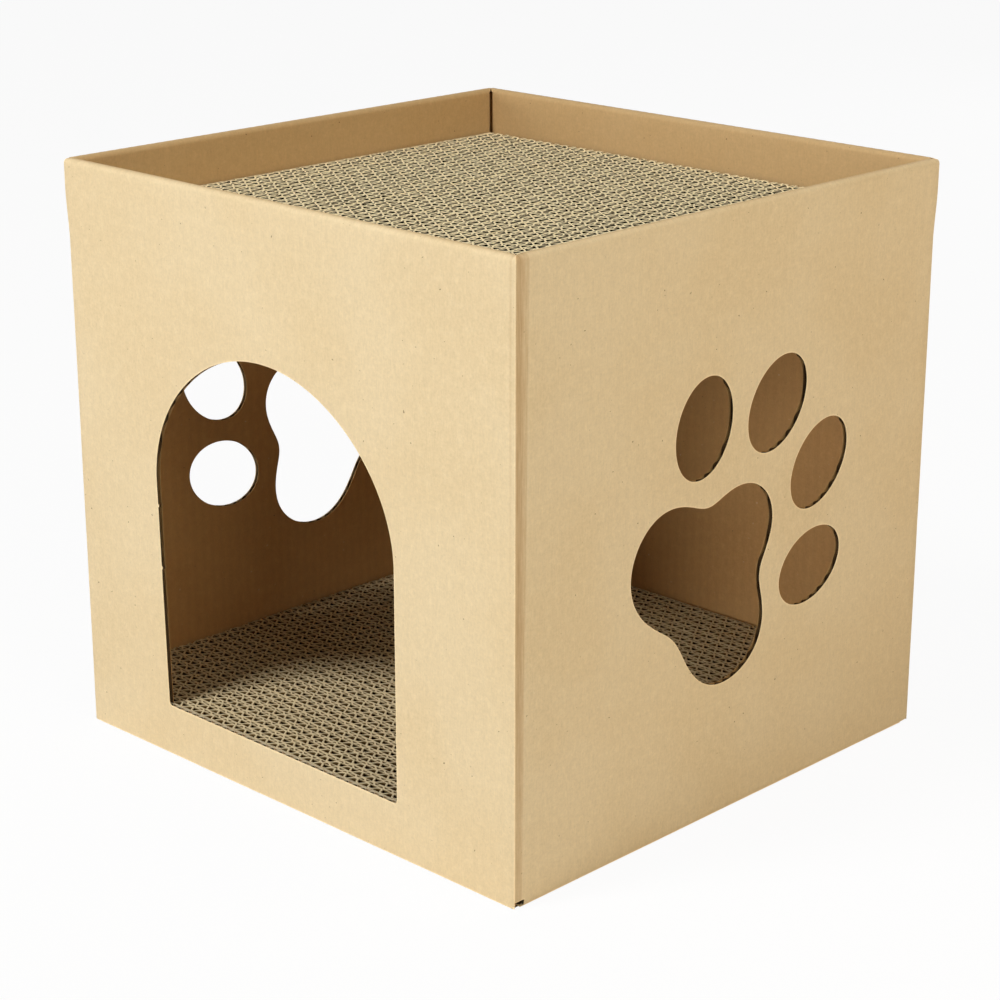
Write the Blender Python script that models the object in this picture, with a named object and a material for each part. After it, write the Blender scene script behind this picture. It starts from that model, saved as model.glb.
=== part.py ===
"""Cardboard cat house: a folded carton with an arched doorway, paw-shaped windows in both
side walls, a scratcher of corrugated strips on its floor and another sunk into its top.

Metres, +Z up. The origin is the middle of the base. The doorway faces -Y, the paws +X and -X."""

import bpy
import bmesh
from math import acos, cos, pi, radians, sin, sqrt
from mathutils import Matrix, Vector

# The carton
boxWidth = 0.330            # along X, across the doorway wall
boxDepth = 0.320            # along Y
boxHeight = 0.320
board = 0.003               # single-wall board with the B flute
seam = 0.0003               # gap between pieces that touch
cornerRadius = 0.0025       # bend of the board at the upright corners
cornerSteps = 3
footRadius = 0.0015         # bend of the board at the foot
footWear = 0.0008           # a plain foot's edges are crushed this much
rimBulge = 0.0008           # the walls swell outwards this much below the rim
rimBulgeDepth = 0.045       # where that swelling starts, below the rim
rimBulgeRise = 0.030
rimBulgeSteps = 4
rimCrest = 0.0003           # flat left at the crest of each half of the rim
rimSteps = 4

# The flaps
flapLength = 0.1595         # every bottom flap, from its crease
cornerSlot = 0.007          # slot between two neighbouring bottom flaps
notchHeight = 0.0033        # the slot's end shows at the foot of each side wall
minorInset = 0.004          # each end of the inner bottom flaps stays this far off the wall
rimSlit = 0.0011            # neighbouring rim flaps stop this short of each other
shelfFold = 0.2684          # height of the crease between rim flap and shelf flap
shelfLength = 0.080         # how far a shelf flap reaches in under the top scratcher
tabWidth = 0.0215           # glue tab, pressed flat against the right wall
tabBoard = 0.0018
tabTop = 0.262

# The scratchers, stacks of double-wall strips on edge
padHeight = 0.022
padLiner = 0.00045          # paper between the flutes
bigFlute = 0.00375          # width of the A flute's channels
smallFlute = 0.00175        # width of the B flute's channels
fluteDepth = 0.0012         # how deep the channels show
topPadPlay = 0.0009         # gap round the top scratcher
floorPadPlay = 0.0025       # gap round the floor scratcher
topPadStrips = 46
floorPadStrips = 45

# The doorway, seen from outside: its jambs, sill and spring line
doorLeft = -0.0987
doorLeftAtSill = -0.0960
doorRight = 0.0835
doorSill = 0.0289
doorSpring = 0.1542
doorTop = 0.2367
doorLean = 0.0032           # the arch's crown is this far left of its middle
doorSlim = 0.0105           # its shoulders are this share slimmer than a half ellipse's
doorCorner = 0.0020
doorSteps = 32

# The paw, seen from outside: across from the left edge of its wall, and up from the floor
toes = (                    # middle across, middle up, half length, half width, lean from level
    (0.1333, 0.2118, 0.0266, 0.0210, 71),
    (0.1904, 0.2131, 0.0270, 0.0204, 51),
    (0.2267, 0.1735, 0.0265, 0.0196, 45),
    (0.2220, 0.1183, 0.0261, 0.0193, 19),
)
toeSteps = 28
palmCentre = (0.1397, 0.1306)
palmRadius = 0.0505
palmWaves = (               # on that round: how many to a turn, cosine share, sine share
    (1, 0.0006, 0.0004), (2, 0.0006, -0.0058), (3, -0.0059, 0.0076), (4, -0.0024, 0.0005),
    (5, -0.0009, -0.0002), (6, 0.0, 0.0005), (7, -0.0003, 0.0005),
)
palmSteps = 54
leftPawLift = 0.005         # the left wall's paw sits this much higher

rimRadius = board + seam / 2            # half of the double rim
mitreGap = seam / sqrt(2)               # a mitred end's share of the gap, along the panel
creaseGap = seam * sqrt(2)
linerFace = 2 * board + seam            # depth of the rim flap's free face below the outer face

# Turn about Z, panel length, distance between the panel and the one opposite
sides = {
    "front": (0, boxWidth, boxDepth),
    "right": (90, boxDepth, boxWidth),
    "back": (180, boxWidth, boxDepth),
    "left": (270, boxDepth, boxWidth),
}


def clearScene():
    for item in list(bpy.data.objects):
        bpy.data.objects.remove(item, do_unlink=True)


def material(name, colour, roughness):
    paint = bpy.data.materials.new(name)
    paint.use_nodes = True
    shader = paint.node_tree.nodes["Principled BSDF"]
    shader.inputs["Base Color"].default_value = (*colour, 1)
    shader.inputs["Roughness"].default_value = roughness
    shader.inputs["Metallic"].default_value = 0
    paint.diffuse_color = (*colour, 1)
    return paint


def addObject(name, mesh, paint, parent=None, location=(0, 0, 0), turn=0):
    item = bpy.data.objects.new(name, mesh)
    bpy.context.scene.collection.objects.link(item)
    item.location = location
    item.rotation_euler = (0, 0, radians(turn))
    if parent:
        item.parent = parent
    mesh.materials.append(paint)
    return item


def loft(name, rings):
    """A closed solid through rings that have as many points each, filled at both ends."""
    shape = bmesh.new()
    loops = [[shape.verts.new(point) for point in ring] for ring in rings]
    count = len(rings[0])
    shape.faces.new(loops[0])
    shape.faces.new(loops[-1])
    for lower, upper in zip(loops, loops[1:]):
        for i in range(count):
            j = (i + 1) % count
            shape.faces.new((lower[i], lower[j], upper[j], upper[i]))
    bmesh.ops.recalc_face_normals(shape, faces=shape.faces)
    mesh = bpy.data.meshes.new(name)
    shape.to_mesh(mesh)
    shape.free()
    return mesh


def prism(name, outline, low, high, axis):
    """A flat outline of (across, up) points, given thickness along Y or Z."""
    if axis == "Y":
        rings = [[(across, level, up) for across, up in outline] for level in (low, high)]
    else:
        rings = [[(across, up, level) for across, up in outline] for level in (low, high)]
    return loft(name, rings)


def bulge(height):
    """How far the walls and rim flaps swell outwards at a height."""
    share = (height - boxHeight + rimBulgeDepth) / rimBulgeRise
    share = min(max(share, 0), 1)
    return rimBulge * share * share * (3 - 2 * share)


def bulgeLevels():
    foot = boxHeight - rimBulgeDepth
    return [foot + rimBulgeRise * step / rimBulgeSteps for step in range(rimBulgeSteps + 1)]


def rimAngles():
    """The turns of the rim's round top, from level with its foot to the edge of the crest."""
    last = acos((seam / 2 + rimCrest) / rimRadius)
    return [last * step / rimSteps for step in range(rimSteps + 1)]


def wallRing(half, outer, inner, height):
    """A wall's outline at one height, mitred at both ends, its outer corners rounded."""
    swell = bulge(height)
    bend = min(cornerRadius, 2 * (inner - outer))
    reach = half + swell - mitreGap
    arc = []
    for step in range(cornerSteps + 1):
        angle = pi / 4 * (1 - step / cornerSteps)
        arc.append((reach - outer - bend + bend * sin(angle), outer + bend - bend * cos(angle) - swell))
    right = [(across, depth, height) for across, depth in arc]
    left = [(-across, depth, height) for across, depth in reversed(arc)]
    return [(-reach + inner, inner - swell, height), (reach - inner, inner - swell, height)] + right + left


def wallRings(half, foot):
    rings = [wallRing(half, outer, inner, height) for height, outer, inner in foot]
    rings += [wallRing(half, 0, board, height) for height in bulgeLevels()]
    for angle in rimAngles():
        height = boxHeight - rimRadius + rimRadius * sin(angle)
        rings.append(wallRing(half, rimRadius - rimRadius * cos(angle), board, height))
    return rings


def foldedFoot():
    """Height, outer depth and inner depth where a wall bends into the flap below it."""
    low = footRadius / 3
    return [(low, footRadius - sqrt(footRadius**2 - (footRadius - low)**2), low),
            (footRadius, 0, footRadius), (board, 0, board)]


def plainFoot():
    return [(0, footWear, board - footWear), (footWear, 0, board)]


def rimFlap(name, half, paint, wall):
    """The flap folded over the rim, hanging inside its wall down to the shelf crease."""
    length = half - linerFace - rimSlit
    near = board + seam
    levels = [(shelfFold + seam, near + seam), (shelfFold + board, linerFace)]
    levels += [(height, linerFace) for height in bulgeLevels()]
    for angle in rimAngles():
        levels.append((boxHeight - rimRadius + rimRadius * sin(angle), rimRadius + rimRadius * cos(angle)))
    rings = []
    for height, far in levels:
        swell = bulge(height)
        rings.append([(x, y - swell - rimRadius, height - boxHeight)
                      for x, y in ((-length, near), (length, near), (length, far), (-length, far))])
    return addObject(name, loft(name, rings), paint, wall, (0, rimRadius, boxHeight))


def shelfFlap(name, half, paint, wall, trim=0):
    """The end of a rim flap, folded level under the top scratcher; its origin is the crease.
    Its ends are mitred, and trim takes that much more off the end by the glue tab."""
    length = half - linerFace - rimSlit
    keep = length - trim
    rings = []
    for height, start in ((0, creaseGap), (board, board + creaseGap)):
        ring = [(-length + start, start)]
        if trim:
            ring += [(keep, start), (keep, trim), (length - shelfLength, shelfLength)]
        else:
            ring += [(length - start, start), (length - shelfLength, shelfLength)]
        ring.append((-length + shelfLength, shelfLength))
        rings.append([(x, y, height) for x, y in ring])
    return addObject(name, loft(name, rings), paint, wall, (0, board + seam, shelfFold))


def outerBottomFlap(name, half, paint, wall):
    """The lowest layer of the floor, folded in from a side wall; its origin is the crease."""
    length = half - cornerSlot
    rings = []
    for height, start in ((0, footRadius), (seam, seam + creaseGap), (board, board + creaseGap)):
        rings.append([(x, y, height) for x, y in
                      ((-length, start), (length, start), (length, flapLength), (-length, flapLength))])
    return addObject(name, loft(name, rings), paint, wall)


def innerBottomFlap(name, half, paint, wall):
    """The upper layer of the floor, folded in from the front or the back wall."""
    length = half - board - minorInset
    start = board + seam
    outline = [(-length, 0), (length, 0), (length, flapLength - start), (-length, flapLength - start)]
    return addObject(name, prism(name, outline, 0, board, "Z"), paint, wall, (0, start, board + seam))


def glueTab(paint, wall, half):
    """The strip of the blank's end that is glued to the inside of the right wall."""
    far = half - board - seam
    outline = [(far - tabWidth, 2 * board), (far, 2 * board), (far, tabTop), (far - tabWidth, tabTop)]
    low = board + seam
    return addObject("glue_tab", prism("glue_tab", outline, low, low + tabBoard, "Y"), paint, wall)


def doorOutline():
    middle = (doorLeft + doorRight) / 2
    span = (doorRight - doorLeft) / 2
    corners = []
    for across, start in ((doorRight - doorCorner, -pi / 2), (doorLeftAtSill + doorCorner, pi)):
        turns = [start + pi / 2 * step / cornerSteps for step in range(cornerSteps + 1)]
        corners.append([(across + doorCorner * cos(turn), doorSill + doorCorner + doorCorner * sin(turn))
                        for turn in turns])
    arch = []
    for step in range(doorSteps + 1):
        angle = pi * step / doorSteps
        slim = 1 - doorSlim * sin(2 * angle)**2
        across = span * cos(angle) - doorLean * sin(angle)
        arch.append((middle + across * slim, doorSpring + (doorTop - doorSpring) * sin(angle) * slim))
    return corners[0] + arch + corners[1]


def toeOutline(half, toe, lift):
    across, up, long, short, lean = toe
    tilt = radians(lean)
    points = []
    for step in range(toeSteps):
        angle = 2 * pi * step / toeSteps
        a = long * cos(angle)
        b = short * sin(angle)
        x = across - half + a * cos(tilt) - b * sin(tilt)
        z = up + lift + a * sin(tilt) + b * cos(tilt)
        points.append((x, z))
    return points


def palmOutline(half, lift):
    points = []
    for step in range(palmSteps):
        angle = 2 * pi * step / palmSteps
        radius = palmRadius
        for count, level, rise in palmWaves:
            radius += level * cos(count * angle) + rise * sin(count * angle)
        points.append((palmCentre[0] - half + radius * cos(angle), palmCentre[1] + lift + radius * sin(angle)))
    return points


def cut(wall, name, mesh):
    """Cuts a shape out of a wall, with a guide that stays in the file as a wire."""
    guide = bpy.data.objects.new(name, mesh)
    bpy.context.scene.collection.objects.link(guide)
    guide.parent = wall
    guide.hide_render = True
    guide.display_type = "WIRE"
    tool = wall.modifiers.new(name, "BOOLEAN")
    tool.operation = "DIFFERENCE"
    tool.solver = "EXACT"
    tool.object = guide


def cutOutline(wall, name, outline):
    cut(wall, name, prism(name, outline, -2 * board, 3 * board, "Y"))


def cutPaw(wall, side, half, lift):
    for number, toe in enumerate(toes, 1):
        cutOutline(wall, f"cut_{side}_toe_{number}", toeOutline(half, toe, lift))
    cutOutline(wall, f"cut_{side}_palm", palmOutline(half, lift))


def cutNotches(wall, side, half):
    """The slots between the flaps show as small notches at the foot of a side wall."""
    for end, sign in (("front", -1), ("back", 1)):
        inner, outer = sign * (half - cornerSlot), sign * (half + board)
        outline = [(inner, -board), (outer, -board), (outer, notchHeight), (inner, notchHeight)]
        cutOutline(wall, f"cut_{side}_notch_{end}", outline)


def scratcher(name, strips, width, length, base, turn, paint):
    """A block of double-wall strips side by side, with the flutes' channels open at both faces."""
    pitch = width / strips
    scale = pitch / (3 * padLiner + bigFlute + smallFlute)
    steps = []
    for strip in range(strips):
        start = -width / 2 + strip * pitch
        wide = (start + padLiner * scale, start + (padLiner + bigFlute) * scale)
        narrow = (wide[1] + padLiner * scale, start + pitch - padLiner * scale)
        steps += [wide, narrow]
    half = padHeight / 2
    upper = [(-width / 2, half)]
    for low, high in steps:
        upper += [(low, half), (low, half - fluteDepth), (high, half - fluteDepth), (high, half)]
    upper.append((width / 2, half))
    lower = [(x, -z) for x, z in reversed(upper)]
    mesh = prism(name, upper + lower, -length / 2, length / 2, "Y")
    return addObject(name, mesh, paint, None, (0, 0, base + half), turn)


def build():
    clearScene()
    kraftLight = material("kraft_outside", (0.72, 0.55, 0.33), 0.78)
    kraftInside = material("kraft_inside", (0.48, 0.33, 0.17), 0.82)
    strips = material("corrugated_strips", (0.53, 0.43, 0.27), 0.88)

    for side, (turn, length, across) in sides.items():
        half = length / 2
        folded = side in ("right", "left")
        foot = foldedFoot() if folded else plainFoot()
        place = Matrix.Rotation(radians(turn), 3, "Z") @ Vector((0, -across / 2, 0))
        wallName = f"{side}_wall"
        wall = addObject(wallName, loft(wallName, wallRings(half, foot)), kraftLight, None, place, turn)
        rimFlap(f"{side}_rim_flap", half, kraftInside, wall)
        if side == "right":
            glueTab(kraftInside, wall, half)
            shelfFlap("right_shelf_flap", half, kraftInside, wall, tabWidth - board)
        else:
            shelfFlap(f"{side}_shelf_flap", half, kraftInside, wall)
        if folded:
            outerBottomFlap(f"{side}_bottom_flap", half, kraftLight, wall)
            cutPaw(wall, side, half, leftPawLift if side == "left" else 0)
            cutNotches(wall, side, half)
        else:
            innerBottomFlap(f"{side}_bottom_flap", half, kraftLight, wall)
        if side == "front":
            cutOutline(wall, "cut_doorway", doorOutline())

    floorTop = 2 * (board + seam)
    scratcher("floor_scratcher", floorPadStrips, boxDepth - 2 * (board + floorPadPlay),
              boxWidth - 2 * (board + floorPadPlay), floorTop, 90, strips)
    scratcher("top_scratcher", topPadStrips, boxWidth - 2 * (linerFace + topPadPlay),
              boxDepth - 2 * (linerFace + topPadPlay), shelfFold + board + seam, 0, strips)


build()
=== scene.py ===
from math import cos, pi, radians, sin

import bpy
import numpy as np
from mathutils import Matrix, Vector
from mathutils.geometry import delaunay_2d_cdt
from mathutils.kdtree import KDTree


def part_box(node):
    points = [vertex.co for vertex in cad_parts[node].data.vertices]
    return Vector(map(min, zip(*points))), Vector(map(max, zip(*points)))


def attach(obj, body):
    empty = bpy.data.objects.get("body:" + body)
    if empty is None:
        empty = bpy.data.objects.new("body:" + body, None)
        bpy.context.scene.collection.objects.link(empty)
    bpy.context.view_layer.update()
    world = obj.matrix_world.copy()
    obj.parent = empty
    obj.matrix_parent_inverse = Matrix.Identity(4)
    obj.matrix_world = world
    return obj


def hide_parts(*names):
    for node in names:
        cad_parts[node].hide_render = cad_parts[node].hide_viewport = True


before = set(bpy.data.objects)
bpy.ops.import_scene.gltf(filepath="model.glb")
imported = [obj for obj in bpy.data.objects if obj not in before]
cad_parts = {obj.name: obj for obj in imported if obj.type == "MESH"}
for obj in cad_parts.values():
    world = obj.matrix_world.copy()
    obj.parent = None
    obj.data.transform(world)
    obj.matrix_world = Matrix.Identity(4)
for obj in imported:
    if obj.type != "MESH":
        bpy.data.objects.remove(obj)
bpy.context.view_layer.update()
print("frame loaded")

# The carton, in metres, as the solids have it
house = {
    "width": 0.330,             # along X, across the doorway wall
    "depth": 0.320,
    "height": 0.320,
    "board": 0.003,
    "seam": 0.0003,             # gap between panels that touch
    "seams": {"mitre": 0.7, "shelf": 1.4, "floor": 2.2},    # the gaps at these places, in seams
    "rimRadius": 0.00315,       # the double rim's round top
    "cornerRadius": 0.0019,
    "footRadius": 0.0015,
    "bulge": 0.0008,            # the walls swell this much below the rim
    "bulgeDepth": 0.045,
    "bulgeRise": 0.030,
    "cornerHole": 0.0020,       # the rim gapes this much where the right and back panels meet
    "flapInset": 0.0074,        # a rim flap ends this far from the corner
    "rimMitre": (0.4, 2.4),     # turn of the rim, in radians, over which two panels meet at 45 degrees
    "mitreSteps": 9,
    "flapTurn": 2.9,            # turn of the rim where the flap's sides start
    "holeTurn": (1.45, 0.3),    # turn of the rim where it is widest, and how far it reaches from there
    "shelfFold": 0.2684,        # height of the crease under the top scratcher
    "shelfReach": 0.080,
    "slot": 0.007,              # between two bottom flaps, with its end showing as a notch
    "tongue": 0.0026,           # the right bottom flap reaches this far into the near slot
    "farSlot": 0.0020,          # the right wall's far slot shows this much of itself
    "notch": 0.0033,
    "footGap": (0.0004, 0.0001),        # under the walls that have slots, and under the others
    "flapLength": 0.1595,
    "innerInset": 0.004,
    "tabWidth": 0.0215,
    "tabBoard": 0.0018,
    "tabTop": 0.262,
    "pawLift": {"right": 0.0, "left": 0.005},
}

# What the board is made of: two liners and the fluting between them
sheets = {
    "liner": 0.0003,
    "fluting": 0.0002,
    "pitch": 0.0064,            # one flute
    "least": 0.00005,           # a face lies at least this far inside its solid
    "washboard": 0.00003,       # how far the flutes show through the liners
    "warp": 0.00012,            # slow unevenness of a panel
    "warpLength": 0.110,
    "warpTurns": (1.3, 0.8, 9),         # their start, their share upwards, and their shift by panel
    "levelWarp": 0.5,           # a level flap has this share of it
    "lip": 0.0012,              # width of the edge that the die pressed down
    "lipDepth": 0.00012,
    "lipRoom": (0.93, 1.5),     # its own points and all others stay this far from the cut, in lips
    "rimWave": 0.00005,         # the crushed flutes along the rim
    "rowStep": 0.0084,
    "rollSteps": 14,
    "rollGap": 0.001,           # no other rows this near to the roll
    "linerSteps": 4,            # columns to a flute
    "flutingSteps": 8,
    "cornerStep": 0.0006,       # columns where the corners bend
    "cornerSteps": 15,
    "borderStep": 0.7,          # the liners' borders are this much finer than their columns
    "sharp": 42,                # an edge that turns more than this many degrees is sharp
}

# Turn about Z, panel length, distance between the panel and the one opposite, start along the blank
sides = {
    "front": (0, house["width"], house["depth"], 0.0),
    "right": (90, house["depth"], house["width"], 0.33),
    "back": (180, house["width"], house["depth"], 0.65),
    "left": (270, house["depth"], house["width"], 0.98),
}


class Wire:                                 # a node's output, ready for sums
    def __init__(self, net, socket):
        self.net = net
        self.socket = socket

    def __add__(self, other):
        return self.net.sum("ADD", self, other)

    def __radd__(self, other):
        return self.net.sum("ADD", other, self)

    def __sub__(self, other):
        return self.net.sum("SUBTRACT", self, other)

    def __rsub__(self, other):
        return self.net.sum("SUBTRACT", other, self)

    def __mul__(self, other):
        return self.net.sum("MULTIPLY", self, other)

    def __rmul__(self, other):
        return self.net.sum("MULTIPLY", other, self)

    def __truediv__(self, other):
        return self.net.sum("DIVIDE", self, other)


class Net:                                  # a node tree, of a material or of geometry
    def __init__(self, tree):
        self.tree = tree

    def node(self, kind, settings=None, sockets=None, out=0):
        made = self.tree.nodes.new(kind)
        for key, value in (settings or {}).items():
            setattr(made, key, value)
        for key, value in (sockets or {}).items():
            if isinstance(value, Wire):
                self.tree.links.new(value.socket, made.inputs[key])
            else:
                made.inputs[key].default_value = value
        return Wire(self, made.outputs[out])

    def sum(self, operation, *values):
        return self.node("ShaderNodeMath", {"operation": operation}, dict(enumerate(values)))

    def vector(self, operation, *values):
        return self.node("ShaderNodeVectorMath", {"operation": operation}, dict(enumerate(values)))

    def parts(self, vector):
        split = self.node("ShaderNodeSeparateXYZ", None, {0: vector})
        return [Wire(self, output) for output in split.socket.node.outputs]

    def ramp(self, value, low, high, start=0.0, end=1.0):      # smooth from start to end between low and high
        return self.node("ShaderNodeMapRange", {"interpolation_type": "SMOOTHSTEP"},
                         {"Value": value, "From Min": low, "From Max": high, "To Min": start, "To Max": end})

    def noise(self, place, scale, detail=2.0, roughness=0.5):
        return self.node("ShaderNodeTexNoise", None,
                         {"Vector": place, "Scale": scale, "Detail": detail, "Roughness": roughness})

    def mix(self, factor, first, second):
        return self.node("ShaderNodeMix", {"data_type": "RGBA"}, {0: factor, 6: first, 7: second}, 2)

    def tint(self, colour, amount):
        return self.node("ShaderNodeVectorMath", {"operation": "SCALE"}, {0: colour, "Scale": amount})


def newMaterial(name):
    paint = bpy.data.materials.new(name)
    paint.use_nodes = True
    return paint, Net(paint.node_tree), paint.node_tree.nodes["Principled BSDF"]


def finishMaterial(net, shader, colour, roughness, height, distance, shine=0.25):
    links = net.tree.links
    bump = net.node("ShaderNodeBump", None, {"Height": height, "Distance": distance, "Strength": 1.0})
    links.new(colour.socket, shader.inputs["Base Color"])
    links.new(roughness.socket, shader.inputs["Roughness"])
    links.new(bump.socket, shader.inputs["Normal"])
    shader.inputs["Specular IOR Level"].default_value = shine


# The doorway and the paw, seen from outside
doorway = {
    "left": -0.0987,
    "leftAtSill": -0.0960,
    "right": 0.0835,
    "sill": 0.0287,             # 0.2 mm lower than the solid's
    "spring": 0.1542,
    "top": 0.2367,
    "corner": 0.0020,
    "cornerSteps": 4,
    "lean": 0.0032,             # the arch's crown is this far left of its middle
    "slim": 0.0105,             # its shoulders are this share slimmer than a half ellipse's
    "steps": 90,
    "nicks": (0.1423, 0.1074),  # heights where the cut-out hung on the left jamb
    "nick": (0.0007, 0.0006),   # how far one stands out, and half its height
    "nickFoot": 1.6,            # it is this much taller where it starts
    "sillCut": (0.0003, 0.0008),    # the pale of its cut fades over this distance
}
paw = {
    "toes": (                   # middle across, middle up, half length, half width, lean from level
        (0.1333, 0.2118, 0.0266, 0.0210, 71),
        (0.1904, 0.2131, 0.0270, 0.0204, 51),
        (0.2267, 0.1735, 0.0265, 0.0196, 45),
        (0.2220, 0.1183, 0.0261, 0.0193, 19),
    ),
    "toeSteps": 84,
    "palm": (0.1397, 0.1306),
    "palmRadius": 0.0505,
    "palmWaves": (              # on that round: how many to a turn, cosine share, sine share
        (1, 0.0006, 0.0004), (2, 0.0006, -0.0058), (3, -0.0059, 0.0076), (4, -0.0024, 0.0005),
        (5, -0.0009, -0.0002), (6, 0.0, 0.0005), (7, -0.0003, 0.0005),
    ),
    "palmSteps": 200,
}

# Kraft paper of the liners
kraftLooks = {
    "outside": {"colour": (0.770, 0.612, 0.374), "warm": (0.752, 0.586, 0.345), "pale": (0.795, 0.645, 0.410),
                "edgeLightShare": 0.95, "sillLitShare": 0.0, "ribs": 0.005},
    "inside": {"colour": (0.585, 0.335, 0.125), "warm": (0.555, 0.307, 0.110), "pale": (0.615, 0.365, 0.146),
               "edgeLightShare": -0.35, "sillLitShare": 1.0, "ribs": 0.018},
}
kraftTones = {"mottle": 0.11, "grain": 0.30, "streaks": 0.15, "edge": 0.3}    # how much each changes the tone
bark = ((0.24, 0.145, 0.065, 1), 0.75)      # dark bits in the paper, and how much they cover
fleck = ((0.86, 0.74, 0.52, 1), 0.30)
rimRecessShade = (0.77, 0.65, 0.51)              # painted shade where the outer liner folds over the rim into the carton, darker than outside as the photograph shows
recessShadeStart = (-0.0015, 0.0045)             # the painted shade sets in here along the blank, from the carton's height
# the fluting is painted nearly black: painted shade of the channels between the liners, where the board's cut
# edges show them
flutingShadeColours = ((0.075, 0.043, 0.018, 1), (0.10, 0.060, 0.028, 1))
sillLitColour = (0.80, 0.68, 0.46, 1)

# Crushed bands beside the upright creases: the crushed paper's own darker tone and streaks, with painted
# shade where the bend turns away from the light, and a painted shade line on the doorway wall
creases = {
    "nearWidth": (0.0078, 0.0044),          # right wall, doorway corner: at its top and at its foot
    "nearSink": 0.00030,
    "width": 0.0026,                        # at the other corners
    "sink": 0.00018,
    "step": 0.0009,                         # how quickly it comes back up to the face
    "colour": (0.50, 0.315, 0.145, 1),
    "tones": (0.34, 0.34, 0.9),             # how much of it shows, what the inner half adds as painted shade of the bend, and the streaks
    "start": (-0.0006, 0.0004),             # it sets in between these distances from the crease
    "inner": (0.0026, 0.0060),              # where the inner half fades out
    "footTone": (0.45, 0.62),               # up to this share of the height it fades down to this much
    "lineOff": 0.0031,                      # painted shade line on the doorway wall, from its right corner
    "line": (0.0002, 0.0011, 0.20),         # it fades out between these distances, from this much
    "lineRise": (0.25, 0.9),                # and comes up between these shares of the height
}


def wallReach(side):                        # half of the flat panel, up to the middle of its corner's round
    half = sides[side][1] / 2
    radius = house["cornerRadius"]
    return half - radius + radius * pi / 4


def creaseToneAndShade(net, along, up, streaks):    # how much of the crushed paper's colour and its painted shade shows
    high, low = creases["nearWidth"]
    off = along - (sides["right"][3] - wallReach("right"))
    share = up / house["height"]
    width = low + (high - low) * share
    band = net.ramp(off - width, 0.0, creases["step"], 1.0, 0.0) * net.ramp(off, *creases["start"])
    inner = net.ramp(off, *creases["inner"], 1.0, 0.0)
    least, more, streaked = creases["tones"]
    rise, foot = creases["footTone"]
    near = band * (least + inner * more + (streaks - 0.5) * streaked) * net.ramp(share, 0.0, rise, foot, 1.0)
    side = (wallReach("front") - creases["lineOff"]) - along
    line = net.ramp(net.sum("ABSOLUTE", side), *creases["line"], 0.0) * net.ramp(share, *creases["lineRise"])
    return near + line


def kraftPaper(name, look):
    paint, net, shader = newMaterial(name)
    place = net.node("ShaderNodeUVMap", {"uv_map": "board"})
    along, up = net.parts(place)[:2]
    creased = net.node("ShaderNodeAttribute", {"attribute_name": "crease"}, out="Fac")
    edge = net.node("ShaderNodeAttribute", {"attribute_name": "edge"}, out="Fac")

    cloud = net.noise(place, 11.0, 2.0)                             # slow change of tone, 90 mm
    mottle = net.noise(place, 190.0, 3.0, 0.6)                      # formation of the paper, 5 mm
    grain = net.noise(place, 620.0, 3.0, 0.75)                      # fine fibres, 1.5 mm
    streaks = net.noise(net.vector("MULTIPLY", place, (1300.0, 170.0, 1.0)), 1.0, 2.0)
    smears = net.noise(net.vector("MULTIPLY", place, (1100.0, 60.0, 1.0)), 1.0, 2.0)      # in the creases
    flute = net.sum("COSINE", along * (2 * pi / sheets["pitch"]))

    colour = net.mix(net.ramp(cloud, 0.38, 0.62), look["colour"] + (1,), look["warm"] + (1,))
    colour = net.mix(net.ramp(mottle, 0.45, 0.75, 0.0, 0.35), colour, look["pale"] + (1,))
    tone = 1.0 + (mottle - 0.5) * kraftTones["mottle"] + (grain - 0.5) * kraftTones["grain"]
    # the tone that follows the flutes is painted shading of the washboard
    tone = tone + (streaks - 0.5) * kraftTones["streaks"] + flute * look["ribs"]
    specks = net.ramp(net.noise(place, 430.0, 1.0), 0.762, 0.80)    # only the noise's few highest spots
    flecks = net.ramp(net.noise(net.vector("ADD", place, (3.0, 7.0, 0.0)), 380.0, 1.0), 0.74, 0.80)
    colour = net.tint(colour, tone)
    colour = net.mix(specks * bark[1], colour, bark[0])
    colour = net.mix(flecks * fleck[1], colour, fleck[0])
    crease = creased * creaseToneAndShade(net, along, up, smears)
    # the crushed paper's tone, with painted shade at the bends
    colour = net.mix(crease, colour, creases["colour"])
    # painted shade of the rim's recess, where the outer liner hangs inside the carton
    recessShade = creased * net.ramp(up, *(house["height"] + off for off in recessShadeStart))
    colour = net.mix(recessShade, colour, net.vector("MULTIPLY", colour, rimRecessShade))
    # painted highlight on the pressed lips along the outside liner's cut edges; the inside liner's lips are
    # darker
    colour = net.tint(colour, 1.0 + edge * edge * (look["edgeLightShare"] * kraftTones["edge"]))
    colour = net.mix(sillLitTone(net, along, up) * look["sillLitShare"], colour, sillLitColour)

    roughness = 0.74 + (mottle - 0.5) * 0.12 - crease * 0.08
    height = grain * 0.6 + streaks * 0.4 + mottle * 0.5 + flute * 0.25
    finishMaterial(net, shader, colour, roughness, height, 0.00006)
    return paint


def sillLitTone(net, along, up):               # the doorway's sill is cut across the flutes; its cut faces up and is painted pale, partly as fresh cut paper and partly as painted light over the shade-dark fluting
    off = net.sum("ABSOLUTE", up - doorway["sill"])
    return net.ramp(off, *doorway["sillCut"], 1.0, 0.0) * net.sum("LESS_THAN", along, doorway["right"])


# its colour is painted shade, much darker than the fluting paper itself
def shadedFlutingPaper(name):
    paint, net, shader = newMaterial(name)
    place = net.node("ShaderNodeUVMap", {"uv_map": "board"})
    grain = net.noise(place, 900.0, 3.0, 0.7)
    cloud = net.noise(place, 60.0, 2.0)
    colour = net.mix(cloud, *flutingShadeColours)
    colour = net.mix(sillLitTone(net, *net.parts(place)[:2]), colour, sillLitColour)
    colour = net.tint(colour, 0.85 + grain * 0.3)
    finishMaterial(net, shader, colour, 0.8 + grain * 0.1, grain, 0.00005, 0.05)
    return paint


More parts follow.
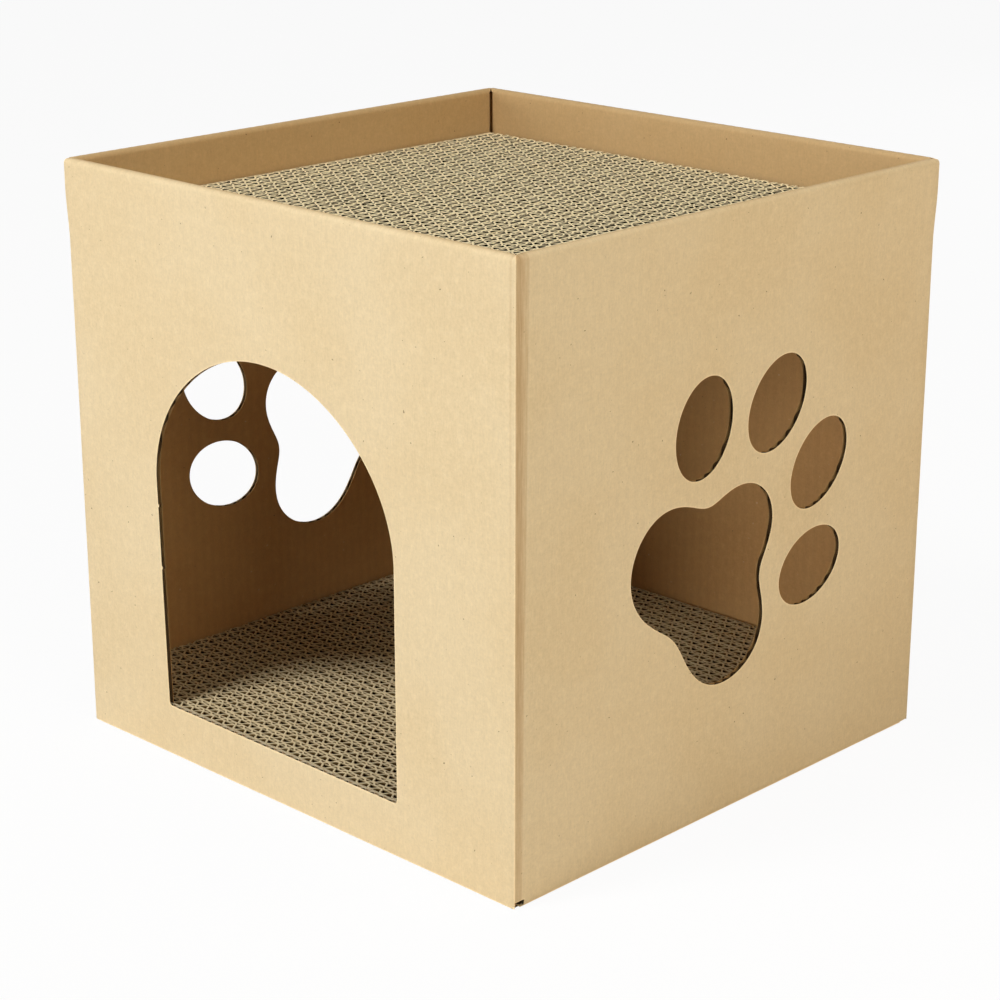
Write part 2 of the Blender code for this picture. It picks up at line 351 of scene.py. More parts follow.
kraftOutside = kraftPaper("kraft_outside_liner", kraftLooks["outside"])
kraftInside = kraftPaper("kraft_inside_liner", kraftLooks["inside"])
shadedFluting = shadedFlutingPaper("board_fluting_painted_shade")
boardPaints = (kraftOutside, shadedFluting, kraftInside)
print("board materials ready")


def ease(share):
    share = np.clip(share, 0, 1)
    return share * share * (3 - 2 * share)


def bulge(height):
    return house["bulge"] * ease((height - house["height"] + house["bulgeDepth"]) / house["bulgeRise"])


def creaseSink(side, u, reach):            # the bands lie a little below the face
    width = np.full(u.shape, creases["width"])
    depth = np.full(u.shape, creases["sink"])
    if side == "right":
        width[u < 0] = sum(creases["nearWidth"]) / 2
        depth[u < 0] = creases["nearSink"]
    off = reach - np.abs(u)                                      # from the corner's middle
    return depth * np.clip(off / width, 0, 1) * (1 - ease((off - width) / creases["step"]))


def unevenness(side, u, v):
    start = sides[side][3]
    bend = 2 * pi / sheets["warpLength"]
    first, upwards, apart = sheets["warpTurns"]
    slow = (np.sin((u + start) * bend + first) * np.cos(v * bend * upwards + start * apart) + 1) / 2
    ribs = (np.cos((u + start) * 2 * pi / sheets["pitch"]) + 1) / 2
    return sheets["least"] + sheets["warp"] * slow + sheets["washboard"] * ribs


def wallPlace(side):                        # maps the flat blank to the folded wall
    turn, length, across, start = sides[side]
    half = length / 2
    corner = house["cornerRadius"]
    rim = house["rimRadius"]
    capStart = house["height"] - rim
    foot = house["footRadius"]
    spin = np.array(Matrix.Rotation(radians(turn), 3, "Z"))

    def place(u, v, depth, edge):
        roll = np.clip((v - capStart) / rim, 0, pi)
        crushed = sheets["rimWave"] * (1 + np.cos((u + start) * 2 * pi / sheets["pitch"])) / 2
        sink = depth + unevenness(side, u, v) + creaseSink(side, u, wallReach(side))
        sink = sink + sheets["lipDepth"] * edge * (1 - depth / house["board"] * 2)
        sink = sink + crushed * np.sin(roll) ** 2
        bend = np.maximum(np.abs(u) - half + corner, 0) / corner
        x = np.sign(u) * (np.minimum(np.abs(u), half - corner) + (corner - sink) * np.sin(bend))
        y = corner - (corner - sink) * np.cos(bend)
        if side in ("right", "left"):
            low = np.clip(foot - v, 0, foot)
            y = y + (foot - np.sqrt(foot ** 2 - low ** 2)) * (1 - depth / house["board"])
        z = np.minimum(v, capStart) + (rim - y) * np.sin(roll) - np.maximum(v - capStart - pi * rim, 0)
        y = rim - (rim - y) * np.cos(roll)
        swell = bulge(z)
        x = x * (half + swell) / half
        y = y - swell - across / 2
        return np.stack([x, y, z], 1) @ spin.T

    return place


def panelPlace(side, start, base, upward):  # a level flap that starts at a crease
    turn, _, across, _ = sides[side]
    spin = np.array(Matrix.Rotation(radians(turn), 3, "Z"))
    board = house["board"]

    def place(u, v, depth, edge):
        level = depth + unevenness(side, u, v) * (1 if upward else -1) * sheets["levelWarp"]
        level = np.clip(level + sheets["lipDepth"] * edge * (1 - depth / board * 2), 0, board)
        height = base + (board - level if upward else level)
        return np.stack([u, v + start - across / 2, height], 1) @ spin.T

    return place


def tabPlace(side):                         # the glue tab, pressed thin
    turn, _, across, _ = sides[side]
    spin = np.array(Matrix.Rotation(radians(turn), 3, "Z"))
    thin = house["tabBoard"] / house["board"]

    def place(u, v, depth, edge):
        y = house["board"] + house["seam"] + depth * thin
        return np.stack([u, y - across / 2, v], 1) @ spin.T

    return place


def densify(loop, step):
    points = []
    for (x0, y0), (x1, y1) in zip(loop, loop[1:] + loop[:1]):
        count = max(1, round(float(np.hypot(x1 - x0, y1 - y0)) / step))
        for i in range(count):
            points.append((x0 + (x1 - x0) * i / count, y0 + (y1 - y0) * i / count))
    return points


def insideLoops(points, loops):             # even-odd test against all the loops at once
    inside = np.zeros(len(points), bool)
    x, y = points[:, 0], points[:, 1]
    for loop in loops:
        ends = np.array(loop)
        for (x0, y0), (x1, y1) in zip(ends, np.roll(ends, -1, 0)):
            if y0 == y1:
                continue
            crosses = (y0 > y) != (y1 > y)
            inside ^= crosses & (x < (x1 - x0) * (y - y0) / (y1 - y0) + x0)
    return inside


def triangulate(loops, columns, rows):
    lip = sheets["lip"]
    points = []
    edges = []
    for loop in loops:
        first = len(points)
        points += loop
        edges += [(first + i, first + (i + 1) % len(loop)) for i in range(len(loop))]
    border = KDTree(len(points))
    for index, (u, v) in enumerate(points):
        border.insert((u, v, 0), index)
    border.balance()

    ring = []
    for loop in loops:
        ends = np.array(loop)
        along = np.roll(ends, -1, 0) - np.roll(ends, 1, 0)
        across = np.stack([-along[:, 1], along[:, 0]], 1) / np.maximum(np.hypot(*along.T), 1e-9)[:, None]
        ring += [tuple(p) for p in ends + across * lip] + [tuple(p) for p in ends - across * lip]
    grid = [(u, v) for u in columns for v in rows]
    extra = np.array(ring + grid)
    wanted = insideLoops(extra, loops)
    ringRoom, gridRoom = sheets["lipRoom"]
    for index in np.flatnonzero(wanted):
        off = border.find((*extra[index], 0))[2]
        wanted[index] = off > lip * (ringRoom if index < len(ring) else gridRoom)
    points += [tuple(p) for p in extra[wanted]]
    flat, _, faces = delaunay_2d_cdt([Vector(p) for p in points], edges, [], 0, 1e-7)[:3]
    flat = np.array([tuple(p) for p in flat])
    faces = np.array(faces)
    faces = faces[insideLoops(flat[faces].mean(1), loops)]
    offs = np.array([border.find((u, v, 0))[2] for u, v in flat])
    return flat, faces, np.clip(1 - offs / lip, 0, 1)


def thinSolid(flat, faces, edge, place, near, far):      # a paper sheet with both faces and its cut edges
    u, v = flat[:, 0], flat[:, 1]
    points = np.concatenate([place(u, v, near(u), edge), place(u, v, far(u), edge)])
    count = len(flat)
    pairs = {}
    for a, b, c in faces.tolist():
        for pair in ((a, b), (b, c), (c, a)):
            pairs[pair] = True
    rim = [(b, a, a + count, b + count) for a, b in pairs if (b, a) not in pairs]
    shown = [tuple(face) for face in faces.tolist()]
    hidden = [(c + count, b + count, a + count) for a, b, c in shown]
    solid = shown + hidden + rim
    corners = points[faces]
    volume = np.einsum("ij,ij->", corners[:, 0], np.cross(corners[:, 1], corners[:, 2]))
    back = points[faces + count]
    volume -= np.einsum("ij,ij->", back[:, 0], np.cross(back[:, 1], back[:, 2]))
    for quad in rim:
        a, b, c, d = points[list(quad)]
        volume += np.dot(a, np.cross(b, c)) + np.dot(a, np.cross(c, d))
    if volume < 0:
        solid = [face[::-1] for face in solid]
    return points, solid


def meshObject(name, points, faces, paints, indices=None):
    mesh = bpy.data.meshes.new(name)
    mesh.from_pydata([tuple(p) for p in points], [], faces)
    for paint in paints:
        mesh.materials.append(paint)
    if indices is not None:
        mesh.polygons.foreach_set("material_index", indices)
    mesh.update()
    item = bpy.data.objects.new(name, mesh)
    bpy.context.scene.collection.objects.link(item)
    return item


def boardPiece(name, side, outline, holes, place, top):   # outline(depth) gives the sheet's cut shape
    pitch = sheets["pitch"]
    start = sides[side][3]
    liner = sheets["liner"]
    paper = sheets["fluting"]
    board = house["board"]
    middle = board / 2
    swing = (board - 2 * liner - paper) / 2
    half = sides[side][1] / 2

    def wave(u):
        return middle + swing * np.cos((u + start) * 2 * pi / pitch)

    few, many = sheets["linerSteps"], sheets["flutingSteps"]
    layers = (                              # depth, columns to a flute, row steps, its two faces
        (0, few, 1, lambda u: u * 0, lambda u: u * 0 + liner),
        (middle, many, 2, lambda u: wave(u) - paper / 2, lambda u: wave(u) + paper / 2),
        (board, few, 1, lambda u: u * 0 + board - liner, lambda u: u * 0 + board),
    )
    capStart = house["height"] - house["rimRadius"]
    roll = pi * house["rimRadius"]
    gap = sheets["rollGap"]
    rollSteps = sheets["rollSteps"]
    corner = range(1, sheets["cornerSteps"] + 1)
    allPoints, allFaces, allPaints, allFlat, allEdge = [], [], [], [], []
    for paint, (depth, perFlute, coarse, near, far) in enumerate(layers):
        step = pitch / perFlute
        first = np.ceil((-half + start) / step) * step - start
        columns = list(np.arange(first, half, step))
        if top:
            columns += [sign * (half - k * sheets["cornerStep"]) for sign in (-1, 1) for k in corner]
            columns = sorted(columns)
        rowStep = sheets["rowStep"] * coarse
        rows = list(np.arange(rowStep / 2, top or half, rowStep))
        if top:
            rows = [v for v in rows if v < capStart - gap or v > capStart + roll + gap]
            rows += [capStart + roll * k / rollSteps for k in range(rollSteps + 1)]
        border = step if perFlute == many else step * sheets["borderStep"]
        loops = [densify(loop, border) for loop in [outline(depth)] + holes]
        flat, faces, edge = triangulate(loops, columns, rows)
        points, solid = thinSolid(flat, faces, edge, place, near, far)
        base = sum(len(p) for p in allPoints)
        allPoints.append(points)
        allFaces += [tuple(i + base for i in face) for face in solid]
        allPaints += [paint] * len(solid)
        allFlat += [flat, flat]
        allEdge += [edge, edge]
    flat = np.concatenate(allFlat)
    item = meshObject(name, np.concatenate(allPoints), allFaces, boardPaints, allPaints)
    mesh = item.data
    mesh.shade_smooth()
    mesh.set_sharp_from_angle(angle=radians(sheets["sharp"]))
    corners = np.empty(len(mesh.loops), np.int32)
    mesh.loops.foreach_get("vertex_index", corners)
    sheetPlace = mesh.uv_layers.new(name="board")
    sheetPlace.data.foreach_set("uv", (flat + (start, 0))[corners].astype(np.float32).ravel())
    edgeMask = mesh.attributes.new("edge", "FLOAT", "POINT")
    edgeMask.data.foreach_set("value", np.concatenate(allEdge).astype(np.float32))
    creaseMask = mesh.attributes.new("crease", "FLOAT", "POINT")
    creaseMask.data.foreach_set("value", np.full(len(flat), 1.0 if top else 0.0, np.float32))
    return item


def doorLoop():
    middle = (doorway["left"] + doorway["right"]) / 2
    span = (doorway["right"] - doorway["left"]) / 2
    corner = doorway["corner"]
    bendSteps = doorway["cornerSteps"]
    bends = []
    for across, start in ((doorway["right"] - corner, -pi / 2), (doorway["leftAtSill"] + corner, pi)):
        turns = [start + pi / 2 * step / bendSteps for step in range(bendSteps + 1)]
        bends.append([(across + corner * cos(t), doorway["sill"] + corner + corner * sin(t)) for t in turns])
    rise = doorway["top"] - doorway["spring"]
    arch = []
    for step in range(doorway["steps"] + 1):
        angle = pi * step / doorway["steps"]
        slim = 1 - doorway["slim"] * sin(2 * angle) ** 2
        across = span * cos(angle) - doorway["lean"] * sin(angle)
        arch.append((middle + across * slim, doorway["spring"] + rise * sin(angle) * slim))
    jamb = []
    out, tall = doorway["nick"]
    foot = tall * doorway["nickFoot"]
    for height in doorway["nicks"]:
        for step, up in ((0, foot), (out, tall), (out, -tall), (0, -foot)):
            share = (height + up - doorway["sill"]) / (doorway["spring"] - doorway["sill"])
            edge = doorway["leftAtSill"] + (doorway["left"] - doorway["leftAtSill"]) * share
            jamb.append((edge + step, height + up))
    return bends[0] + arch + jamb + bends[1]


def toeLoop(half, toe, lift):
    across, up, long, short, lean = toe
    tilt = radians(lean)
    points = []
    for step in range(paw["toeSteps"]):
        angle = 2 * pi * step / paw["toeSteps"]
        a = long * cos(angle)
        b = short * sin(angle)
        x = across - half + a * cos(tilt) - b * sin(tilt)
        z = up + lift + a * sin(tilt) + b * cos(tilt)
        points.append((x, z))
    return points


def palmLoop(half, lift):
    points = []
    for step in range(paw["palmSteps"]):
        angle = 2 * pi * step / paw["palmSteps"]
        radius = paw["palmRadius"]
        for count, level, rise in paw["palmWaves"]:
            radius += level * cos(count * angle) + rise * sin(count * angle)
        across, up = paw["palm"]
        points.append((across - half + radius * cos(angle), up + lift + radius * sin(angle)))
    return points


def wallOutline(side):
    reach = wallReach(side)
    half = sides[side][1] / 2
    rim = house["rimRadius"]
    capStart = house["height"] - rim
    flap = half - house["flapInset"]
    turns = np.linspace(*house["rimMitre"], house["mitreSteps"])
    folded = side in ("right", "left")

    def mitre(sign, depth):                # an end of the folded rim
        ends = half - rim + (rim - depth) * np.cos(turns) - house["seam"] * house["seams"]["mitre"]
        if (side, sign) in (("right", 1), ("back", -1)):
            widest, spread = house["holeTurn"]
            ends = ends - house["cornerHole"] * np.exp(-((turns - widest) / spread) ** 2)
        ends = [min(reach, float(end)) for end in ends]
        return [(sign * end, capStart + rim * float(turn)) for end, turn in zip(ends, turns)]

    def outline(depth):
        drop = house["shelfFold"] + house["seam"] + (house["board"] - depth)
        end = capStart + pi * rim + capStart - drop
        overSlot, plain = house["footGap"]
        foot = depth + overSlot if folded else plain
        slot = half - house["slot"]
        far = half - house["farSlot"] if side == "right" else slot
        notch = house["notch"]
        if folded:
            points = [(-slot, notch), (-slot, foot), (far, foot), (far, notch), (reach, notch)]
        else:
            points = [(-reach, foot), (reach, foot)]
        flapStart = capStart + rim * house["flapTurn"]
        points += mitre(1, depth) + [(flap, flapStart), (flap, end)]
        points += [(-flap, end), (-flap, flapStart)] + mitre(-1, depth)[::-1]
        if folded:
            points.append((-reach, notch))
        return points

    return outline, 2 * capStart + pi * rim - house["shelfFold"]


def makeWall(side):
    half = sides[side][1] / 2
    holes = []
    if side == "front":
        holes = [doorLoop()]
    elif side in house["pawLift"]:
        lift = house["pawLift"][side]
        holes = [toeLoop(half, toe, lift) for toe in paw["toes"]] + [palmLoop(half, lift)]
    outline, top = wallOutline(side)
    wall = boardPiece(f"{side}_panel", side, outline, holes, wallPlace(side), top)
    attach(wall, "carton")
    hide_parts(f"{side}_wall", f"{side}_rim_flap")


def makeShelfFlap(side):
    half = sides[side][1] / 2
    length = half - house["flapInset"]
    reach = house["shelfReach"]
    trim = house["tabWidth"] - house["board"] if side == "right" else 0
    slack = house["seam"] * house["seams"]["shelf"]

    def outline(depth):
        start = house["board"] - depth + slack
        points = [(-length + start, start)]
        if trim:
            points += [(length - trim, start), (length - trim, trim)]
        else:
            points += [(length - start, start)]
        return points + [(length - reach, reach), (-length + reach, reach)]

    place = panelPlace(side, house["board"] + house["seam"], house["shelfFold"], True)
    flap = boardPiece(f"{side}_shelf", side, outline, [], place, None)
    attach(flap, f"{side}_shelf_flap")
    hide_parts(f"{side}_shelf_flap")


def makeBottomFlap(side):
    half = sides[side][1] / 2
    if side in ("right", "left"):
        length = half - house["slot"]
        start = 0.0
        base = 0.0
        body = f"{side}_bottom_flap"
    else:
        length = half - house["board"] - house["innerInset"]
        start = house["board"] + house["seam"]
        base = start
        body = "carton"

    def outline(depth):
        near = depth + house["seam"] * house["seams"]["floor"] if base == 0 else 0.0
        far = house["flapLength"] - start
        tongue = length + (house["tongue"] if side == "right" else 0.0)
        return [(-tongue, near), (length, near), (length, far), (-tongue, far)]

    flap = boardPiece(f"{side}_floor_flap", side, outline, [], panelPlace(side, start, base, False), None)
    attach(flap, body)
    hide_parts(f"{side}_bottom_flap")


def makeGlueTab():
    far = house["depth"] / 2 - house["board"] - house["seam"]
    low = 2 * house["board"]

    def outline(depth):
        return [(far - house["tabWidth"], low), (far, low), (far, house["tabTop"]),
                (far - house["tabWidth"], house["tabTop"])]

    tab = boardPiece("glue_tab_board", "right", outline, [], tabPlace("right"), None)
    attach(tab, "carton")
    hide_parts("glue_tab")


for side in sides:
    makeWall(side)
    makeShelfFlap(side)
    makeBottomFlap(side)
makeGlueTab()
print("carton ready")

# The scratchers, strips of double-wall board on edge
strips = {
    "height": 0.022,
    "liner": 0.00036,
    "fluting": 0.00098,
    "bigPitch": 0.0088,
    "smallPitch": 0.00677,
    "bigShare": 0.6300,         # where the big flutes' middle liner stands, as a share of a strip
    "jitter": 0.07,             # how far a flute's start may be off, as a share of a flute
    "uneven": (1.2, 0.30),      # how far a wave's turn and its swing vary along a strip
    "fray": 0.00034,
    "frayShares": (2.2, 0.7),   # of that, how much along a paper and how much from paper to paper
    "tip": (0.00008, 0.00024),  # how far down the pale cut edge, partly a painted highlight of the tops, reaches
    "tipRagged": 0.0005,
    "crest": 0.45,              # how much rounder than a sine the flutes' crests are
    "shadeTint": (1.0, 0.74, 0.46),     # the painted shade between the papers is warm
    "stagger": 0.5,             # each strip's flutes lie half a flute past the last one's
    "side": (0.00025, 0.00200),         # how far in from the scratcher's sides it is lit like their faces
    "play": 0.0002,             # the strips are this much shorter than the solid
    "linerPoints": 64,
    "bigSteps": 10,             # points to a flute
    "smallSteps": 8,
    "overlap": 0.2,             # a flute's crests sink into its liners by this share of its paper
    "sharp": 50,
}
scratchers = {                  # paintedShade: the depths where a paper is painted darker, as shade between the papers, and the share of its colour left
    "top_scratcher": {"strips": 46, "turn": 0, "seed": 4,
                      "paintedShade": {"liner": (0.00006, 0.00020, 0.015), "fluting": (0.00006, 0.00020, 0.03)},
                      "tint": (1.0, 0.96, 0.86), "forward": 0.0},
    # the floor scratcher's tint is darker: painted shade of the carton around it
    "floor_scratcher": {"strips": 45, "turn": 90, "seed": 9,
                        "paintedShade": {"liner": (0.00055, 0.00090, 0.03), "fluting": (0.00040, 0.00105, 0.28)},
                        "tint": (0.74, 0.69, 0.60), "forward": 0.0020},
}
stripColours = {                            # pale cut edge, partly a painted highlight of the tops, then paler and darker paper
    "liner": ((0.97, 0.87, 0.62), (0.50, 0.38, 0.21), (0.44, 0.32, 0.17)),
    "fluting": ((0.98, 0.88, 0.63), (0.47, 0.36, 0.19), (0.41, 0.30, 0.15)),
}


def stripPaper(node, kind, look, low, high):             # low and high are the corners of the scratcher's box
    tip, pale, dark = stripColours[kind]
    start, end, left = look["paintedShade"][kind]
    paint, net, shader = newMaterial(f"{node}_{kind}_paper")
    place = net.node("ShaderNodeTexCoord", out="Object")
    grain = net.noise(place, 1100.0, 3.0, 0.7)           # fibres
    cloud = net.noise(place, 26.0, 3.0)                  # paler and darker strips
    mottle = net.noise(place, 240.0, 3.0)                # also how ragged the pale edge ends
    level = net.node("ShaderNodeAttribute", {"attribute_name": "level"}, out="Fac")
    drop = strips["height"] / 2 - net.sum("ABSOLUTE", level) + (mottle - 0.5) * strips["tipRagged"]
    tone = 0.80 + grain * 0.26 + mottle * 0.14
    colour = net.mix(net.ramp(cloud, 0.3, 0.7), pale + (1,), dark + (1,))
    colour = net.mix(net.ramp(drop, *strips["tip"]), tip + (1,), net.tint(colour, tone))
    x, y = net.parts(place)[:2]
    acrossRoom = (high.x - low.x) / 2 - net.sum("ABSOLUTE", x - (low.x + high.x) / 2)
    alongRoom = (high.y - low.y) / 2 - net.sum("ABSOLUTE", y - (low.y + high.y) / 2)
    within = net.ramp(net.sum("MINIMUM", acrossRoom, alongRoom), *strips["side"])
    # painted shade deeper down between the papers, none near the scratcher's sides
    deep = tuple(left * share for share in strips["shadeTint"])
    shade = net.mix(net.ramp(drop, start, end) * within, look["tint"] + (1,), deep + (1,))
    colour = net.vector("MULTIPLY", colour, shade)
    finishMaterial(net, shader, colour, 0.84 + grain * 0.1, grain + mottle, 0.00006, 0.05)
    return paint


def paperRows():                            # rows of paper on edge, straight or in waves
    tree = bpy.data.node_groups.new("paper_rows", "GeometryNodeTree")
    tree.interface.new_socket(name="Geometry", in_out="OUTPUT", socket_type="NodeSocketGeometry")
    inputs = {"Rows": "Int", "First": "Float", "Spacing": "Float", "Length": "Float", "Height": "Float",
              "Paper": "Float", "Pitch": "Float", "Swing": "Float", "Stagger": "Float", "Points": "Int",
              "Fray": "Float", "Seed": "Int", "Paint": "Material"}
    for name, kind in inputs.items():
        tree.interface.new_socket(name=name, in_out="INPUT", socket_type=f"NodeSocket{kind}")
    net = Net(tree)
    given = tree.nodes.new("NodeGroupInput")
    value = {name: Wire(net, given.outputs[name]) for name in inputs}

    def combine(x, y, z):
        return net.node("ShaderNodeCombineXYZ", None, {"X": x, "Y": y, "Z": z})

    halfLength = value["Length"] * 0.5
    rows = net.node("GeometryNodeMeshLine", {"mode": "OFFSET"},
                    {"Count": value["Rows"], "Start Location": combine(0.0, value["First"], 0.0),
                     "Offset": combine(0.0, value["Spacing"], 0.0)})
    line = net.node("GeometryNodeCurvePrimitiveLine", None,
                    {"Start": combine(0.0 - halfLength, 0.0, 0.0), "End": combine(halfLength, 0.0, 0.0)})
    line = net.node("GeometryNodeResampleCurve", None, {"Curve": line, "Count": value["Points"]})
    lines = net.node("GeometryNodeInstanceOnPoints", None, {"Points": rows, "Instance": line})
    lines = net.node("GeometryNodeRealizeInstances", None, {"Geometry": lines})
    place = net.node("GeometryNodeInputPosition")
    x, y = net.parts(place)[:2]
    row = net.sum("ROUND", (y - value["First"]) / value["Spacing"])
    chance = net.node("FunctionNodeRandomValue", {"data_type": "FLOAT"},
                      {"Min": -1.0, "Max": 1.0, "ID": row, "Seed": value["Seed"]}, 1)
    phase = (x / value["Pitch"] + row * value["Stagger"] + chance * strips["jitter"]) * (2 * pi)
    uneven = net.noise(combine(x, y * 7.0, value["Seed"]), 90.0, 1.0) - 0.5
    unevenTurn, unevenSwing = strips["uneven"]
    wave = net.sum("SINE", phase + uneven * unevenTurn)
    wave = wave * (1.0 + strips["crest"] - wave * wave * strips["crest"])
    across = value["Swing"] * wave * (1.0 + uneven * unevenSwing)
    lines = net.node("GeometryNodeSetPosition", None,
                     {"Geometry": lines, "Offset": combine(0.0, across, 0.0)})
    lines = net.node("GeometryNodeSetCurveNormal", {"mode": "Z_UP"}, {"Curve": lines})
    profile = net.node("GeometryNodeCurvePrimitiveQuadrilateral", None,
                       {"Width": value["Paper"], "Height": value["Height"]})
    paper = net.node("GeometryNodeCurveToMesh", None,
                     {"Curve": lines, "Profile Curve": profile, "Fill Caps": True})
    ragged = net.noise(place, 420.0, 2.0) - 0.5
    step = net.node("FunctionNodeRandomValue", {"data_type": "FLOAT"},
                    {"Min": -0.5, "Max": 0.5, "ID": row, "Seed": value["Seed"]}, 1)
    z = net.parts(net.node("GeometryNodeInputPosition"))[2]
    paper = net.node("GeometryNodeStoreNamedAttribute", {"data_type": "FLOAT", "domain": "POINT"},
                     {"Geometry": paper, "Name": "level", "Value": z})
    upper = net.sum("GREATER_THAN", z, 0.0)
    along, apart = strips["frayShares"]
    lift = upper * (ragged * value["Fray"] * along + step * value["Fray"] * apart)
    paper = net.node("GeometryNodeSetPosition", None,
                     {"Geometry": paper, "Offset": combine(0.0, 0.0, lift)})
    paper = net.node("GeometryNodeRealizeInstances", None, {"Geometry": paper})
    paper = net.node("GeometryNodeSetMaterial", None, {"Geometry": paper, "Material": value["Paint"]})
    ending = tree.nodes.new("NodeGroupOutput")
    tree.links.new(paper.socket, ending.inputs["Geometry"])
    return tree


def growRows(tree, values):                 # runs the tree once and gives its plain mesh
    holder = bpy.data.objects.new("rows", bpy.data.meshes.new("rows"))
    bpy.context.scene.collection.objects.link(holder)
    grow = holder.modifiers.new("rows", "NODES")
    grow.node_group = tree
    for item in tree.interface.items_tree:
        if item.in_out == "INPUT":
            grow[item.identifier] = values[item.name]
    view = bpy.context.evaluated_depsgraph_get()
    mesh = bpy.data.meshes.new_from_object(holder.evaluated_get(view))
    bpy.data.objects.remove(holder, do_unlink=True)
    return mesh


def joinMeshes(name, meshes):
    items = []
    for mesh in meshes:
        item = bpy.data.objects.new(name, mesh)
        bpy.context.scene.collection.objects.link(item)
        items.append(item)
    if len(items) > 1:
        with bpy.context.temp_override(active_object=items[0], selected_editable_objects=items):
            bpy.ops.object.join()
    return items[0]


rowTree = paperRows()


def makeScratcher(node, look):
    low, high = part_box(node)
    low = low - Vector((0, look["forward"], 0))          # pushed up to the doorway wall
    size = high - low
    turned = look["turn"] == 90
    width, length = (size.y, size.x) if turned else (size.x, size.y)
    spacing = width / look["strips"]
    linerPaint = stripPaper(node, "liner", look, low, high)
    flutingPaint = stripPaper(node, "fluting", look, low, high)
    liner = strips["liner"]
    split = spacing * strips["bigShare"]
    common = {"Rows": look["strips"], "Spacing": spacing, "Length": length - strips["play"],
              "Height": strips["height"], "Fray": strips["fray"], "Stagger": strips["stagger"],
              "Seed": look["seed"]}
    seat = Matrix.Translation((low + high) / 2) @ Matrix.Rotation(radians(0 if turned else 90), 4, "Z")

    def rows(first, **own):
        return growRows(rowTree, {**common, "First": first - width / 2, **own})

    straight = {"Paper": liner, "Pitch": 0.01, "Swing": 0.0, "Points": strips["linerPoints"],
                "Paint": linerPaint}
    liners = [rows(at, **straight) for at in (liner / 2, split, spacing - liner / 2)]
    fluting = strips["fluting"]
    taken = liner * 1.5                     # by a whole liner and half of the middle one
    bigRoom = split - taken - fluting * strips["overlap"]
    smallRoom = spacing - split - taken - fluting * strips["overlap"]
    bigPoints = round(length / strips["bigPitch"] * strips["bigSteps"]) + 1
    smallPoints = round(length / strips["smallPitch"] * strips["smallSteps"]) + 1
    big = rows((liner + split - liner / 2) / 2, Paper=fluting, Pitch=strips["bigPitch"],
               Swing=bigRoom / 2, Points=bigPoints, Paint=flutingPaint)
    small = rows((split + liner / 2 + spacing - liner) / 2, Paper=fluting, Pitch=strips["smallPitch"],
                 Swing=smallRoom / 2, Points=smallPoints, Paint=flutingPaint)
    pieces = {f"{node}_liners": liners, f"{node}_big_flutes": [big], f"{node}_small_flutes": [small]}
    for name, meshes in pieces.items():
        item = joinMeshes(name, meshes)
        item.data.transform(seat)
        item.data.shade_smooth()
        item.data.set_sharp_from_angle(angle=radians(strips["sharp"]))
        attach(item, node)
        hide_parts(node)
        print(name, len(item.data.polygons), "faces")


for node, look in scratchers.items():
    makeScratcher(node, look)
print("scratchers ready")

# A plain pale studio
studio = {
    "camera": (0.9130, -0.9363, 0.5681),
    "azimuth": 44.31,
    "elevation": 18.51,
    "lens": 90.47,
    "sensor": 36,
    "floor": 6.0,
    "floorDrop": 0.0002,
    "floorColour": (0.86, 0.86, 0.86, 1),
    "under": (0.12, 0.09, 0.06, 1),     # painted shadow on the floor beneath the carton, which doesn't glow
    "underInset": 0.0022,
    "sky": 0.05,
    "glow": 0.94,               # how white the floor is for the camera
    "lamps": {
        "key_light": {"azimuth": -13.0, "elevation": 56.0, "away": 2.4, "size": 0.6, "power": 31.0,
                      "colour": (1.0, 1.0, 1.0)},
        "front_light": {"azimuth": -20.5, "elevation": 6.5, "away": 2.6, "size": 0.8, "power": 22.8,
                        "colour": (1.0, 1.0, 1.0)},
        "side_light": {"azimuth": 77.0, "elevation": 31.0, "away": 1.6, "size": 1.2, "power": 10.6,
                       "colour": (1.0, 0.98, 0.90)},
        "warm_light": {"azimuth": 118.0, "elevation": 20.0, "away": 1.3, "size": 0.5, "power": 1.6,
                       "colour": (1.0, 0.57, 0.17)},
        "back_light": {"azimuth": 188.0, "elevation": 13.0, "away": 2.4, "size": 1.2, "power": 8.5,
                       "colour": (1.0, 0.98, 0.94)},
    },
}


def aim(item, azimuth, elevation):
    a, e = radians(azimuth), radians(elevation)
    back = Vector((sin(a) * cos(e), -cos(a) * cos(e), sin(e)))
    item.rotation_euler = (-back).to_track_quat("-Z", "Y").to_euler()
    return back


def addLamp(name, look):
    lamp = bpy.data.lights.new(name, "AREA")
    lamp.shape = "DISK"
    lamp.size = look["size"]
    lamp.energy = look["power"]
    lamp.color = look["colour"]
    item = bpy.data.objects.new(name, lamp)
    bpy.context.scene.collection.objects.link(item)
    back = aim(item, look["azimuth"], look["elevation"])
    item.location = Vector((0, 0, house["height"] / 2)) + back * look["away"]


def whiteForCamera(net, shade, share):      # the background stays white, and keeps a soft shadow
    path = net.tree.nodes.new("ShaderNodeLightPath")
    seen = Wire(net, path.outputs["Is Camera Ray"])
    for name in ("Is Glossy Ray", "Is Transmission Ray"):
        seen = net.sum("MAXIMUM", seen, Wire(net, path.outputs[name]))
    glow = net.node("ShaderNodeEmission", None, {"Color": (1, 1, 1, 1), "Strength": 1.0})
    return net.node("ShaderNodeMixShader", None, {0: seen * share, 1: shade, 2: glow})


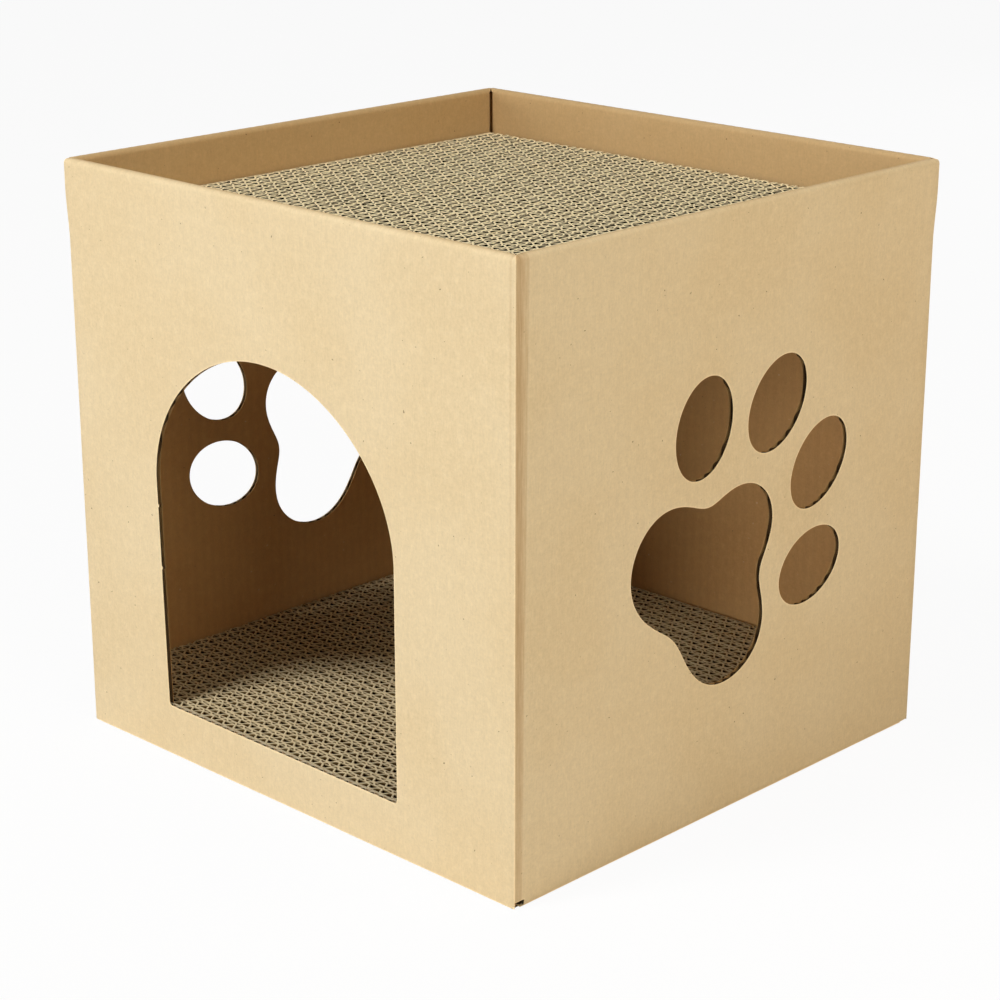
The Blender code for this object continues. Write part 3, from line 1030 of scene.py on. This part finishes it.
def makeStudio():
    scene = bpy.context.scene
    camera = bpy.data.cameras.new("camera")
    camera.lens = studio["lens"]
    camera.sensor_width = studio["sensor"]
    camera.clip_end = 50
    item = bpy.data.objects.new("camera", camera)
    scene.collection.objects.link(item)
    aim(item, studio["azimuth"], studio["elevation"])
    item.location = studio["camera"]
    scene.camera = item
    for name, look in studio["lamps"].items():
        addLamp(name, look)

    reach = studio["floor"]
    floorPaint, net, shader = newMaterial("pale_floor")
    shader.inputs["Roughness"].default_value = 0.9
    output = net.tree.nodes["Material Output"]
    x, y = net.parts(net.node("ShaderNodeTexCoord", out="Object"))[:2]
    inset = studio["underInset"]
    # painted shadow beneath the carton
    under = net.sum("LESS_THAN", net.sum("ABSOLUTE", x), house["width"] / 2 - inset)
    under = under * net.sum("LESS_THAN", net.sum("ABSOLUTE", y), house["depth"] / 2 - inset)
    plain = net.mix(under, studio["floorColour"], studio["under"])
    net.tree.links.new(plain.socket, shader.inputs["Base Color"])
    share = studio["glow"] - under * studio["glow"]
    surface = whiteForCamera(net, Wire(net, shader.outputs[0]), share)
    net.tree.links.new(surface.socket, output.inputs["Surface"])
    turns = ((-1, -1), (1, -1), (1, 1), (-1, 1))
    corners = [(x * reach, y * reach, -studio["floorDrop"]) for x, y in turns]
    meshObject("studio_floor", corners, [(0, 1, 2, 3)], (floorPaint,))

    world = bpy.data.worlds.new("studio")
    scene.world = world
    world.use_nodes = True
    net = Net(world.node_tree)
    sky = world.node_tree.nodes["Background"]
    sky.inputs["Strength"].default_value = studio["sky"]
    sky.inputs["Color"].default_value = (1, 1, 1, 1)
    white = net.node("ShaderNodeBackground", None, {"Color": (1, 1, 1, 1), "Strength": 1.0})
    path = net.tree.nodes.new("ShaderNodeLightPath")
    seen = Wire(net, path.outputs["Is Camera Ray"])
    both = net.node("ShaderNodeMixShader", None, {0: seen, 1: Wire(net, sky.outputs[0]), 2: white})
    net.tree.links.new(both.socket, net.tree.nodes["World Output"].inputs["Surface"])
    scene.view_settings.view_transform = "Standard"


makeStudio()
print("studio ready")
